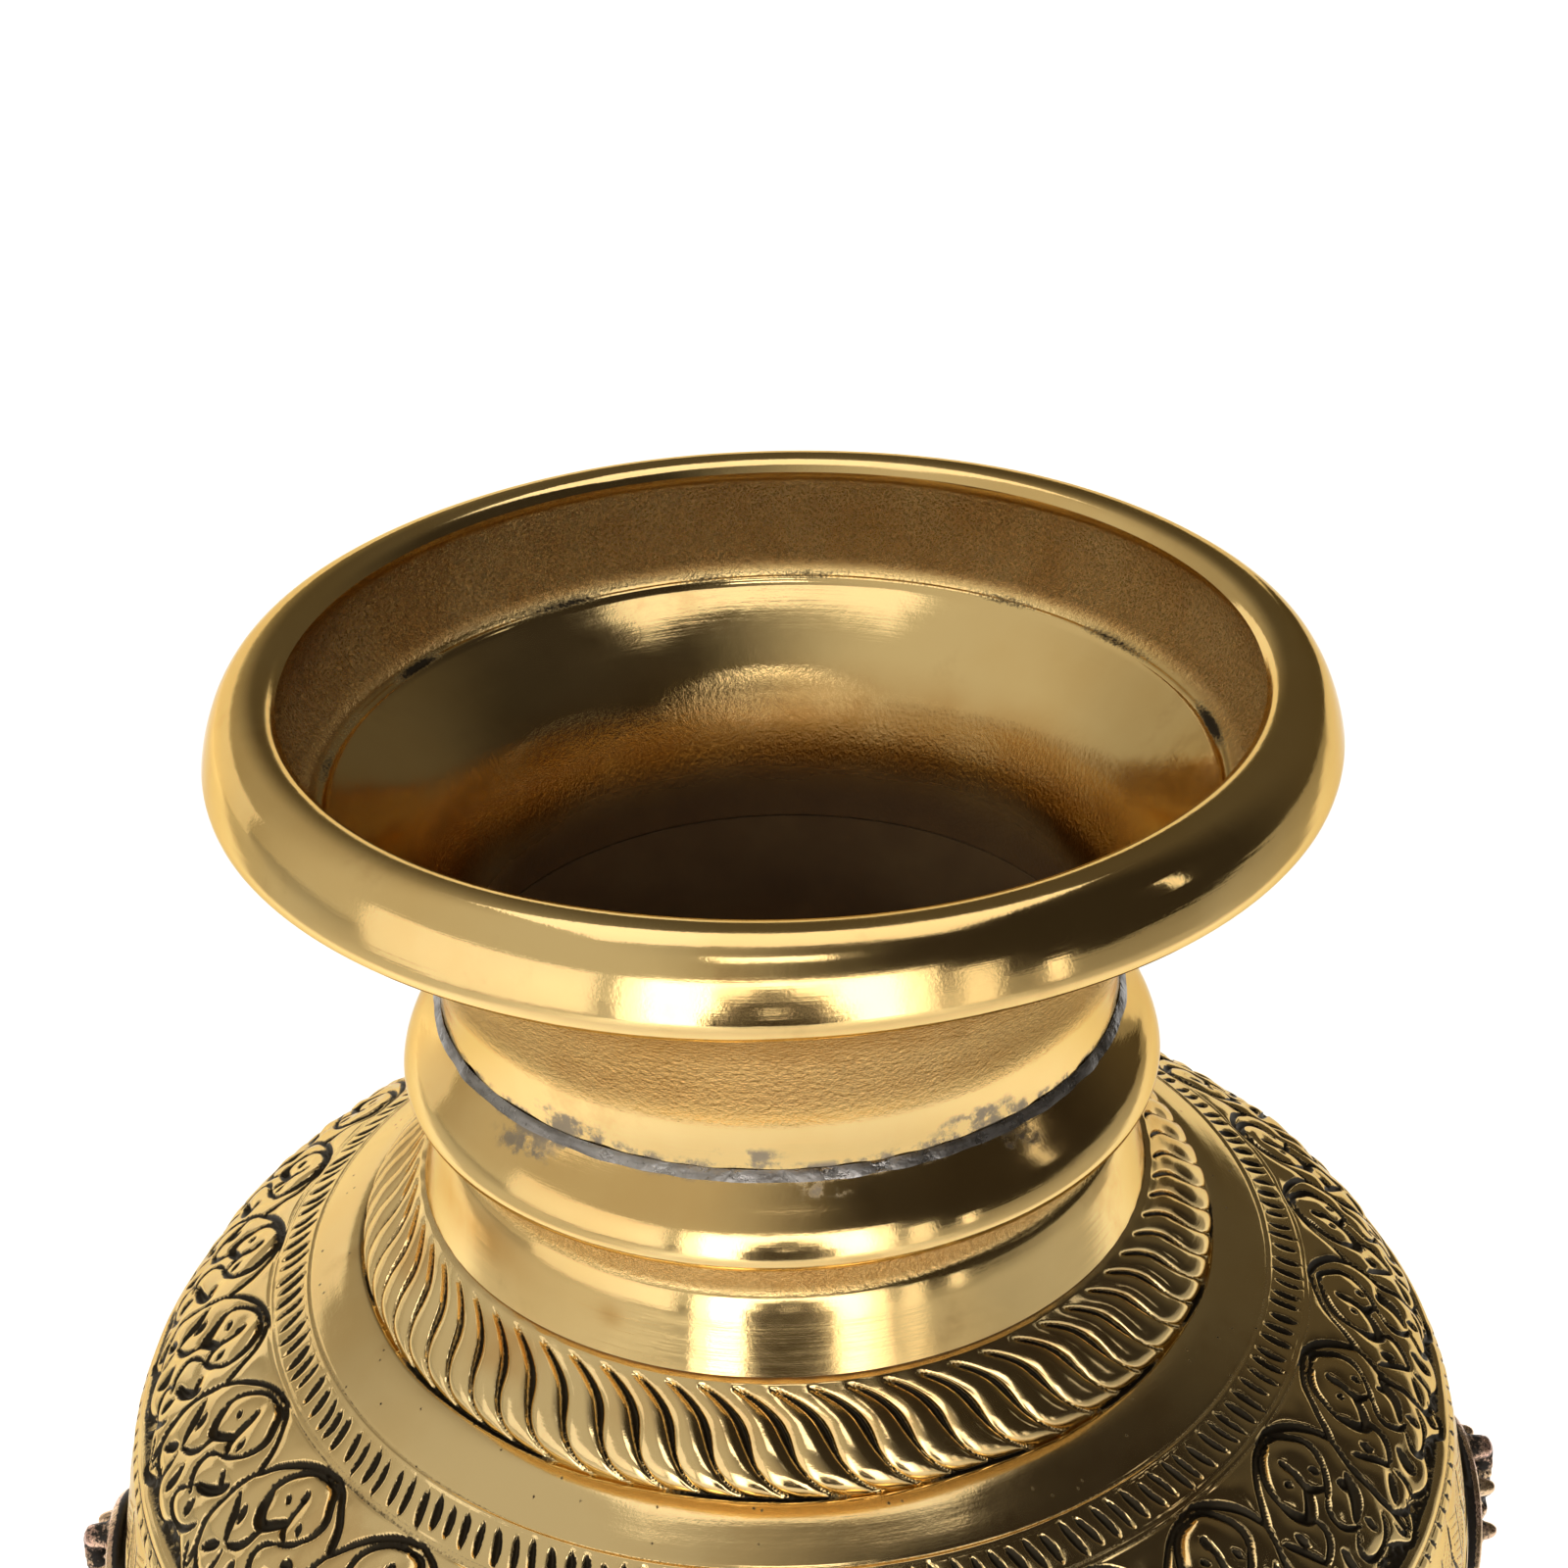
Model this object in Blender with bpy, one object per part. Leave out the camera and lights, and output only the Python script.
"""Brass kalash pot: a soldered brass vessel with eight cast figure plaques riveted round its belly.

The pot is turned about +Z and stands on z = 0, with the origin at the centre of its foot.
Every length below is in millimetres, and points on an outline are (radius, height) pairs.
"""

import math

import bmesh
import bpy
from mathutils import Matrix, Vector

MM = 0.001              # metres in a millimetre

# Driving dimensions
SIDES = 40              # flats round each turned piece
GAP = 0.3               # clearance between pieces that touch
WALL = 2.2              # thickness of the sheet body
LIP_BORE_R = 60.0       # inner edge of the lip
LIP_Z = 240.0           # height of that edge
NECK_END_Z = 196.0      # lower end of the neck, on the collar
NECK_R = 43.6           # outside of the neck at its lower end
THROAT_R = 40.8         # bore of the neck and the collar
COLLAR_END_Z = 168.8    # lower end of the collar, on the shoulder
CONE_R = 47.8           # outside of the collar's cone at its lower end
BELLY_R = 93.9          # widest outside radius
BELLY_Z = 107.0         # height of the widest place
BELLY_JOINT_Z = 112.5   # height of the brazed joint of the two half bodies
BOWL_DEPTH = 80.0       # from the widest place down to the bottom
BRAZE_HEIGHT = 0.9      # height of the brazed joint
FOOT_R = 60.0           # outside of the foot
FOOT_TOP_R = 44.6       # outside of the foot where it meets the bowl
FOOT_TOP_BORE_R = 39.8  # its bore there

# Plaques and their rivets
PLAQUES = 8
FIRST_PLAQUE_DEG = 2.75  # azimuth of plaque 1
PLAQUE_TOP_Z = 112.0
PLAQUE_END_Z = 48.0
PLAQUE_HALF_WIDTH = 22.0
PLAQUE_STEPS = (6, 10)  # facets across and up a plaque
PLATE = 1.9             # thickness of a plaque's back plate
BACK_GAP = 0.4          # between a plaque and the round belly
RIVET_OFFSET = 18.2     # from a plaque's middle line, along the belly
RIVET_UP = 0.46         # height of the rivets, as a part of the plaque's height
RIVET_SHANK_R = 1.2
RIVET_HEAD_R = 2.2
RIVET_HEAD = 1.1        # height of a rivet's domed head
RIVET_SIDES = 8


def clear_scene():
    """Remove whatever the scene holds."""
    for thing in list(bpy.data.objects):
        bpy.data.objects.remove(thing, do_unlink=True)


def make_material(name, colour, roughness, metallic=1.0):
    """Return a metal as a Principled BSDF material."""
    material = bpy.data.materials.new(name)
    material.use_nodes = True
    shader = material.node_tree.nodes["Principled BSDF"]
    shader.inputs["Base Color"].default_value = (*colour, 1.0)
    shader.inputs["Roughness"].default_value = roughness
    shader.inputs["Metallic"].default_value = metallic
    return material


def add_object(name, mesh, material):
    """Link a mesh into the scene as a named object with one material, shaded smooth."""
    mesh.materials.clear()
    mesh.materials.append(material)
    mesh.shade_smooth()
    mesh.set_sharp_from_angle(angle=math.radians(35))
    obj = bpy.data.objects.new(name, mesh)
    bpy.context.scene.collection.objects.link(obj)
    return obj


def inset(points, distance):
    """Return a turned outline's points moved towards the inside of the pot, for points that run down."""
    moved = []
    for index, point in enumerate(points):
        before = Vector(points[max(index - 1, 0)])
        after = Vector(points[min(index + 1, len(points) - 1)])
        run = (after - before).normalized()
        moved.append((point[0] + run.y * distance, point[1] - run.x * distance))
    return moved


def bowl_radius(z, shrink=0.0):
    """Return the radius of the lower bowl's outside at a height, or of a surface inside it."""
    rise = (z - BELLY_Z) / (BOWL_DEPTH - shrink)
    return (BELLY_R - shrink) * math.sqrt(max(0.0, 1.0 - rise * rise))


def bowl_height(radius):
    """Return the height of the lower bowl's outside at a radius."""
    return BELLY_Z - BOWL_DEPTH * math.sqrt(1.0 - (radius / BELLY_R) ** 2)


def bowl_arc(top_z, shrink, steps):
    """Return points down the bowl's elliptical outline from a height to the axis."""
    start = math.asin((BELLY_Z - top_z) / (BOWL_DEPTH - shrink))
    points = []
    for step in range(steps):
        angle = start + (math.pi / 2 - start) * step / steps
        points.append((
            (BELLY_R - shrink) * math.cos(angle),
            BELLY_Z - (BOWL_DEPTH - shrink) * math.sin(angle),
        ))
    return points + [(0.0, BELLY_Z - BOWL_DEPTH + shrink)]


def turned(name, outline, material, sides=SIDES):
    """Turn a closed outline about +Z. A point on the axis becomes one vertex."""
    bm = bmesh.new()
    rings = []
    for radius, z in outline:
        if radius < 1e-6:
            rings.append([bm.verts.new((0.0, 0.0, z * MM))])
            continue
        ring = []
        for side in range(sides):
            angle = 2 * math.pi * side / sides
            place = (radius * math.cos(angle), radius * math.sin(angle), z)
            ring.append(bm.verts.new([value * MM for value in place]))
        rings.append(ring)
    for ring, following in zip(rings, rings[1:] + rings[:1]):
        if len(ring) == 1 and len(following) == 1:
            continue
        for side in range(sides):
            after = (side + 1) % sides
            if len(ring) == 1:
                corners = (ring[0], following[after], following[side])
            elif len(following) == 1:
                corners = (ring[side], ring[after], following[0])
            else:
                corners = (ring[side], ring[after], following[after], following[side])
            bm.faces.new(corners)
    bmesh.ops.recalc_face_normals(bm, faces=bm.faces)
    mesh = bpy.data.meshes.new(name)
    bm.to_mesh(mesh)
    bm.free()
    return add_object(name, mesh, material)


def make_mouth_rim(material):
    """Thick rolled lip, funnel and neck. Inside, an undercut cove ends on a small step."""
    outside = [
        (LIP_BORE_R, LIP_Z), (64.2, 241.7), (67.6, 240.4), (69.4, 236.4), (69.4, 233.0), (66.5, 230.0),
        (62.7, 228.1), (57.4, 224.6), (51.6, 219.6), (47.9, 214.6), (46.0, 210.0), (44.3, 204.8),
        (NECK_R, 200.0), (NECK_R, NECK_END_Z),
    ]
    inside = [
        (THROAT_R, NECK_END_Z), (THROAT_R - 0.2, 203.5), (41.6, 209.0), (44.0, 213.8), (47.8, 218.4),
        (51.8, 222.2), (55.4, 225.2), (56.4, 226.0), (59.8, 229.4), (61.6, 233.8), (61.1, 237.6),
    ]
    return turned("mouth_rim", outside + inside, material)


def make_neck_solder_seam(material):
    """Fillet of soft solder in the corner between the neck and the collar's upper face."""
    root = NECK_R + GAP + 0.05
    outline = [
        (root, NECK_END_Z + 2.2), (root + 1.05, NECK_END_Z + 0.4), (root + 1.85, NECK_END_Z - 1.6),
        (root + 1.8, NECK_END_Z - 2.5), (root + 0.9, NECK_END_Z - 1.0), (root, NECK_END_Z + 0.2),
    ]
    return turned("neck_solder_seam", outline, material)


def make_neck_collar(material):
    """Collar with a sloping upper face, a round edge, a groove below it and a polished cone."""
    seat_z = NECK_END_Z - GAP
    outside = [
        (NECK_R + 0.3, seat_z), (44.6, 194.6), (46.2, 191.9), (47.9, 189.4), (49.3, 188.2), (48.7, 187.1),
        (46.2, 186.3), (44.3, 184.2), (43.9, 181.6), (44.2, 179.7), (45.1, 178.4), (46.4, 174.0),
        (CONE_R, COLLAR_END_Z),
    ]
    inside = [(CONE_R - 3.2, COLLAR_END_Z), (42.4, 176.0), (41.1, 183.0), (THROAT_R, 189.5), (THROAT_R, seat_z)]
    return turned("neck_collar", outside + inside, material)


def shoulder_outline():
    """Return the shoulder's smooth outside from the rope band's lower edge to the belly joint."""
    joint = (bowl_radius(BELLY_JOINT_Z), BELLY_JOINT_Z + BRAZE_HEIGHT / 2 + GAP)
    return [
        (56.0, 157.6), (64.0, 153.9), (69.4, 150.7), (76.8, 146.3), (83.7, 141.0), (88.2, 135.0),
        (90.9, 128.1), (92.7, 120.0), joint,
    ]


def make_shoulder_shell(material):
    """Upper half of the body: the raised rope band round the top, then the convex shoulder."""
    seat_z = COLLAR_END_Z - GAP
    body = shoulder_outline()
    under_rope = [(48.6, seat_z - 0.9), (52.4, 162.6)]
    rope = [(CONE_R + 0.7, seat_z), (49.3, seat_z - 0.9), (51.6, 165.2), (54.3, 161.6), (55.9, 158.7)]
    inside = inset(under_rope + body, WALL)
    inside[-1] = (body[-1][0] - WALL, body[-1][1])
    outline = rope + body + inside[::-1] + [(CONE_R - 2.4, seat_z)]
    return turned("shoulder_shell", outline, material)


def make_belly_braze_seam(material):
    """Flush ring of brazing metal between the two half bodies."""
    outer = bowl_radius(BELLY_JOINT_Z)
    low = BELLY_JOINT_Z - BRAZE_HEIGHT / 2
    high = BELLY_JOINT_Z + BRAZE_HEIGHT / 2
    outline = [(outer, high), (outer, low), (outer - WALL, low), (outer - WALL, high)]
    return turned("belly_braze_seam", outline, material)


def make_lower_bowl(material):
    """Lower half of the body, with its closed bottom."""
    top_z = BELLY_JOINT_Z - BRAZE_HEIGHT / 2 - GAP
    outline = bowl_arc(top_z, 0.0, 13) + bowl_arc(top_z, WALL, 11)[::-1]
    return turned("lower_bowl", outline, material)


def make_foot_ring(material):
    """Flared hollow foot with a beaded edge and a flat underside."""
    top_gap = GAP + 0.1
    outside = [
        (FOOT_TOP_R, bowl_height(FOOT_TOP_R) - top_gap), (43.4, 33.0), (42.6, 28.0), (43.9, 22.0),
        (48.2, 15.2), (54.0, 10.2), (57.8, 7.4), (58.6, 5.4), (FOOT_R, 4.2), (FOOT_R, 0.0),
    ]
    inside = [
        (FOOT_R - 6.0, 0.0), (FOOT_R - 6.0, 4.0), (50.0, 9.4), (44.2, 15.0), (40.4, 22.0), (39.2, 28.0),
        (FOOT_TOP_BORE_R, bowl_height(FOOT_TOP_BORE_R) - top_gap),
    ]
    return turned("foot_ring", outside + inside, material)


def make_foot_solder_seam(material):
    """Fillet of solder in the corner between the bowl and the top of the foot ring."""
    root = FOOT_TOP_R + GAP + 0.1
    outer = root + 2.1
    outline = [
        (root, bowl_height(root) - 2 * GAP), (outer, bowl_height(outer) - GAP - 0.1),
        (root + 0.5, bowl_height(root) - 1.8), (root - 0.3, bowl_height(root) - 3.2),
        (root - 0.5, bowl_height(root) - 1.5),
    ]
    return turned("foot_solder_seam", outline, material)


def plaque_half_width(up):
    """Return half a plaque's width at a part of its height: a lotus base, straight sides, a round arch."""
    if up > 0.62:
        arch = (up - 0.62) / 0.40
        return PLAQUE_HALF_WIDTH * math.sqrt(1.0 - arch * arch)
    base = 0.88 + 0.12 * min(1.0, up / 0.2)
    return PLAQUE_HALF_WIDTH * base


def bump(value, middle, width):
    """Return a smooth hump, 1 at the middle and 0 beyond the width."""
    reach = abs(value - middle) / width
    return 0.5 + 0.5 * math.cos(math.pi * min(reach, 1.0))


def plaque_relief(across, up):
    """Return a plaque's thickness: an edge moulding, and the seated figure with its tall crown."""
    edge = 1.1 * bump(abs(across), 0.86, 0.24)
    lap = 5.2 * bump(across, 0.0, 0.95) * bump(up, 0.16, 0.20)
    chest = 4.4 * bump(across, 0.0, 0.62) * bump(up, 0.42, 0.26)
    head = 5.0 * bump(across, 0.0, 0.42) * bump(up, 0.69, 0.15)
    crown = 5.9 * bump(across, 0.0, 0.50) * bump(up, 0.90, 0.14)
    return PLATE + max(edge, lap, chest, head, crown)


def belly_frame(azimuth, along, up):
    """Return a place on the bowl, and the outward direction there.

    along is the distance round the belly from the azimuth, and up the part of a plaque's height.
    """
    top = math.asin((PLAQUE_TOP_Z - BELLY_Z) / BOWL_DEPTH)
    low = math.asin((PLAQUE_END_Z - BELLY_Z) / BOWL_DEPTH)
    tilt = low + (top - low) * up
    angle = azimuth + along / BELLY_R
    radius = BELLY_R * math.cos(tilt)
    place = Vector((radius * math.cos(angle), radius * math.sin(angle), BELLY_Z + BOWL_DEPTH * math.sin(tilt)))
    flat = math.cos(tilt) / BELLY_R
    out = Vector((flat * math.cos(angle), flat * math.sin(angle), math.sin(tilt) / BOWL_DEPTH))
    return place, out.normalized()


def plaque_mesh():
    """Return the closed mesh of a plaque at azimuth 0: a plate bent to the belly, with its relief in front."""
    across_steps, up_steps = PLAQUE_STEPS
    bm = bmesh.new()
    layers = {"back": [], "front": []}
    for layer, rows in layers.items():
        for row in range(up_steps + 1):
            up = row / up_steps
            line = []
            for column in range(across_steps + 1):
                across = 2.0 * column / across_steps - 1.0
                place, out = belly_frame(0.0, across * plaque_half_width(up), up)
                height = 0.0 if layer == "back" else plaque_relief(across, up)
                line.append(bm.verts.new((place + out * (BACK_GAP + height)) * MM))
            rows.append(line)
    for rows in layers.values():
        for low, high in zip(rows, rows[1:]):
            for column in range(across_steps):
                bm.faces.new((low[column], low[column + 1], high[column + 1], high[column]))
    rims = []
    for rows in (layers["back"], layers["front"]):
        right = [row[-1] for row in rows]
        left = [row[0] for row in reversed(rows)]
        rims.append(rows[0][:-1] + right + rows[-1][-2:0:-1] + left[:-1])
    back, front = rims
    for index in range(len(back)):
        after = (index + 1) % len(back)
        bm.faces.new((back[index], back[after], front[after], front[index]))
    bmesh.ops.recalc_face_normals(bm, faces=bm.faces)
    mesh = bpy.data.meshes.new("plaque")
    bm.to_mesh(mesh)
    bm.free()
    return mesh


def rivet_outline(head_z, tail_z):
    """Return a rivet's outline, with a domed head outside and a flat tail inside."""
    return [
        (0.0, head_z + RIVET_HEAD), (RIVET_HEAD_R * 0.66, head_z + RIVET_HEAD * 0.72), (RIVET_HEAD_R, head_z),
        (RIVET_SHANK_R, head_z), (RIVET_SHANK_R, tail_z), (RIVET_HEAD_R, tail_z),
        (RIVET_HEAD_R * 0.7, tail_z - RIVET_HEAD * 0.7), (0.0, tail_z - RIVET_HEAD * 0.8),
    ]


def rivet_placements():
    """Yield each rivet's name, its plaque's number and its place on the belly, with Z outwards."""
    for number in range(PLAQUES):
        azimuth = math.radians(FIRST_PLAQUE_DEG) + 2 * math.pi * number / PLAQUES
        for side, along in (("left", RIVET_OFFSET), ("right", -RIVET_OFFSET)):
            place, out = belly_frame(azimuth, along, RIVET_UP)
            turn = out.to_track_quat("Z", "Y").to_matrix().to_4x4()
            yield f"rivet_{number + 1}_{side}", number, Matrix.Translation(place * MM) @ turn


def cut_hole(target, cutter):
    """Cut a hidden cutter out of a target."""
    cutter.hide_render = True
    cutter.display_type = "WIRE"
    hole = target.modifiers.new(cutter.name, "BOOLEAN")
    hole.operation = "DIFFERENCE"
    hole.object = cutter


def make_plaques_and_rivets(bowl, cast, rivet_metal):
    """Stand the plaques round the belly, and rivet each one through the bowl."""
    mesh = plaque_mesh()
    plaques = []
    for number in range(PLAQUES):
        plaque = add_object(f"plaque_{number + 1}", mesh, cast)
        plaque.rotation_euler.z = math.radians(FIRST_PLAQUE_DEG) + 2 * math.pi * number / PLAQUES
        plaques.append(plaque)
    relief_at_rivet = plaque_relief(RIVET_OFFSET / PLAQUE_HALF_WIDTH, RIVET_UP)
    head_z = BACK_GAP + relief_at_rivet + 2 * GAP
    tail_z = -WALL - 2 * GAP
    reach = 12.0
    hole_r = RIVET_SHANK_R + GAP
    hole = [(0.0, reach), (hole_r, reach), (hole_r, -reach), (0.0, -reach)]
    for name, number, matrix in rivet_placements():
        rivet = turned(name, rivet_outline(head_z, tail_z), rivet_metal, RIVET_SIDES)
        rivet.matrix_world = matrix
        cutter = turned(f"{name}_hole", hole, rivet_metal, RIVET_SIDES)
        cutter.matrix_world = matrix
        cut_hole(bowl, cutter)
        cut_hole(plaques[number], cutter)


def main():
    """Build the whole pot."""
    clear_scene()
    brass = make_material("polished_brass", (0.80, 0.58, 0.24), 0.16)
    chased = make_material("chased_brass", (0.72, 0.53, 0.24), 0.24)
    solder = make_material("soft_solder", (0.42, 0.42, 0.42), 0.45)
    braze = make_material("brazing_metal", (0.74, 0.56, 0.30), 0.35)
    cast = make_material("antiqued_cast_brass", (0.36, 0.25, 0.15), 0.40)
    rivet_metal = make_material("rivet_brass", (0.66, 0.46, 0.20), 0.32)
    make_mouth_rim(brass)
    make_neck_solder_seam(solder)
    make_neck_collar(brass)
    make_shoulder_shell(chased)
    make_belly_braze_seam(braze)
    bowl = make_lower_bowl(brass)
    make_foot_solder_seam(solder)
    make_foot_ring(brass)
    make_plaques_and_rivets(bowl, cast, rivet_metal)


main()
